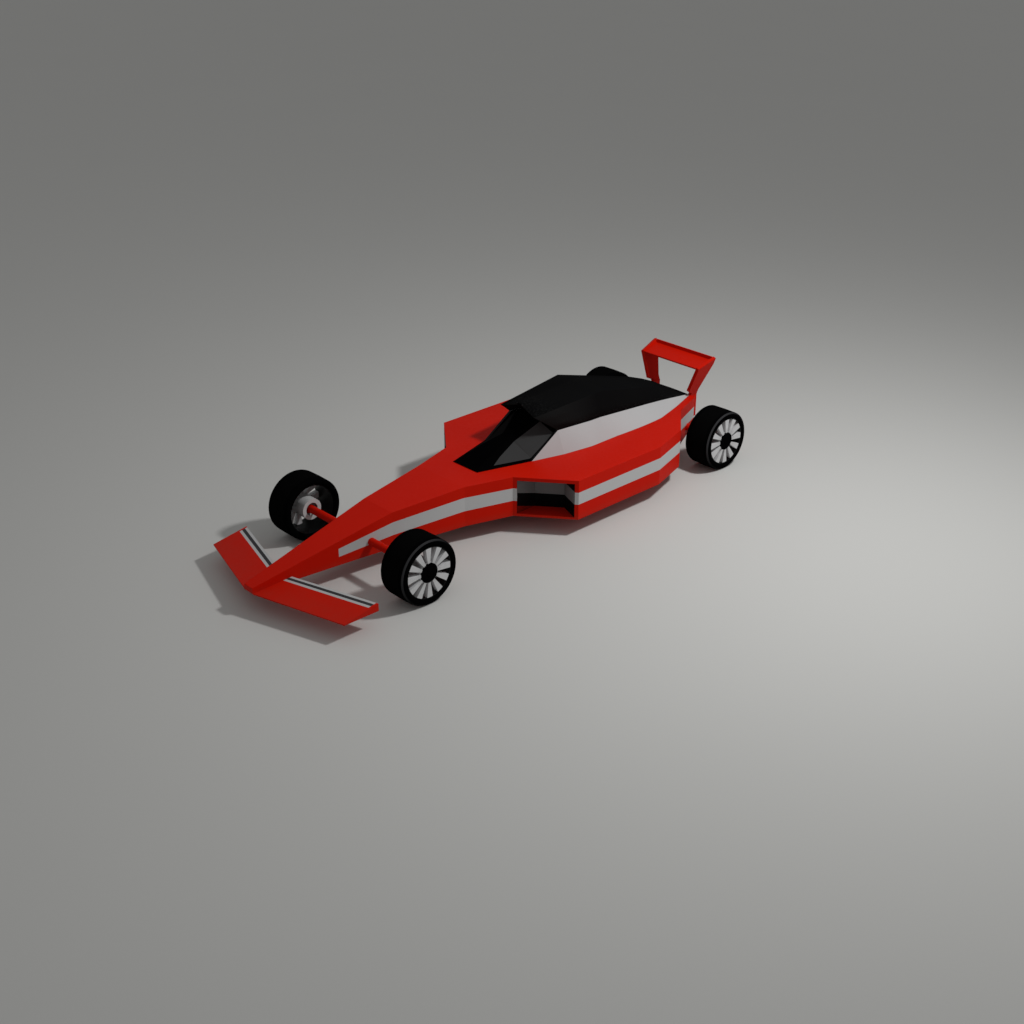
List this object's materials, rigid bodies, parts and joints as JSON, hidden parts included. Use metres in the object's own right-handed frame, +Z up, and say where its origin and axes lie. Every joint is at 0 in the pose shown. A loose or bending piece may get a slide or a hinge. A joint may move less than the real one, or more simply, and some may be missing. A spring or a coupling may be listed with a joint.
{
  "type": "open wheel racing car",
  "caption": "Low faceted single-seat racing car with exposed wheels, closed canopy, swept front wing, side pods and a raised rear wing on struts.",
  "frame": {"origin": "on the ground, on the centre plane, midway between the nose tip and the rear wing trailing edge", "axes": "+Z up, -Y towards the nose, +X towards the left side of the car"},
  "size_m": [2.004, 5.75, 1.206],
  "materials": {
    "body_red": "gloss",
    "panel_white": "satin",
    "panel_black": "gloss",
    "glass_black": "gloss",
    "glass_grey": "gloss",
    "cast_metal": "matte",
    "radiator_black": "matte",
    "seat_shell": "matte",
    "cockpit_plastic": "matte",
    "plank_wood": "matte",
    "tyre_black": "matte",
    "rim_white": "satin",
    "hub_black": "matte",
    "hub_white": "satin"
  },
  "bodies": {
    "chassis": {"nose_cone": "body_red", "tub": "body_red", "engine_bay": "body_red", "engine_block": "cast_metal", "tail_casing": "body_red", "sidepod_l": "body_red", "sidepod_r": "body_red", "radiator_l": "radiator_black", "radiator_r": "radiator_black", "cover_panel_l": "panel_white", "cover_panel_r": "panel_white", "engine_cover_roof": "panel_black", "seat": "seat_shell", "dashboard": "cockpit_plastic", "steering_column": "cockpit_plastic", "front_wing_l": "body_red", "front_wing_r": "body_red", "rear_wing_plane": "body_red", "rear_wing_strut_l": "body_red", "rear_wing_strut_r": "body_red", "axle_tubes_front": "body_red", "axle_tubes_rear": "body_red", "skid_plank": "plank_wood", "hub_carrier_rl": "hub_white", "hub_carrier_rr": "hub_white"},
    "knuckle_l": {"knuckle_fl": "hub_white"},
    "knuckle_r": {"knuckle_fr": "hub_white"},
    "wheel_fl": {"tyre_fl": "tyre_black", "rim_fl": "rim_white", "hub_cap_fl": "hub_black"},
    "wheel_fr": {"tyre_fr": "tyre_black", "rim_fr": "rim_white", "hub_cap_fr": "hub_black"},
    "wheel_rl": {"tyre_rl": "tyre_black", "rim_rl": "rim_white", "hub_cap_rl": "hub_black"},
    "wheel_rr": {"tyre_rr": "tyre_black", "rim_rr": "rim_white", "hub_cap_rr": "hub_black"},
    "canopy": {"canopy_frame": "panel_black", "windscreen": "glass_black", "side_window_l": "glass_grey", "side_window_r": "glass_grey"},
    "steering": {"steering_wheel": "cockpit_plastic"}
  },
  "joints": [
    {"name": "steer_l", "type": "hinge", "parent": "chassis", "child": "knuckle_l", "pos_m": [0.79, -1.656, 0.318], "axis": [0, 0, 1], "range_deg": [-16, 16]},
    {"name": "steer_r", "type": "hinge", "parent": "chassis", "child": "knuckle_r", "pos_m": [-0.79, -1.656, 0.318], "axis": [0, 0, 1], "range_deg": [-16, 16]},
    {"name": "spin_fl", "type": "hinge", "parent": "knuckle_l", "child": "wheel_fl", "pos_m": [0.86, -1.656, 0.318], "axis": [1, 0, 0], "continuous": true},
    {"name": "spin_fr", "type": "hinge", "parent": "knuckle_r", "child": "wheel_fr", "pos_m": [-0.86, -1.656, 0.318], "axis": [1, 0, 0], "continuous": true},
    {"name": "spin_rl", "type": "hinge", "parent": "chassis", "child": "wheel_rl", "pos_m": [0.809, 2.49, 0.318], "axis": [1, 0, 0], "continuous": true},
    {"name": "spin_rr", "type": "hinge", "parent": "chassis", "child": "wheel_rr", "pos_m": [-0.809, 2.49, 0.318], "axis": [1, 0, 0], "continuous": true},
    {"name": "canopy_hinge", "type": "hinge", "parent": "chassis", "child": "canopy", "pos_m": [0, 0.384, 1.043], "axis": [-1, 0, 0], "range_deg": [0, 45]},
    {"name": "steering_wheel_turn", "type": "hinge", "parent": "chassis", "child": "steering", "pos_m": [0, -0.075, 0.56], "axis": [0, 0.9659, 0.259], "range_deg": [-160, 160]}
  ],
  "couplings": [
    {"joint": "steer_r", "follows": "steer_l", "ratio": 1},
    {"joint": "steering_wheel_turn", "follows": "steer_l", "ratio": 10}
  ]
}
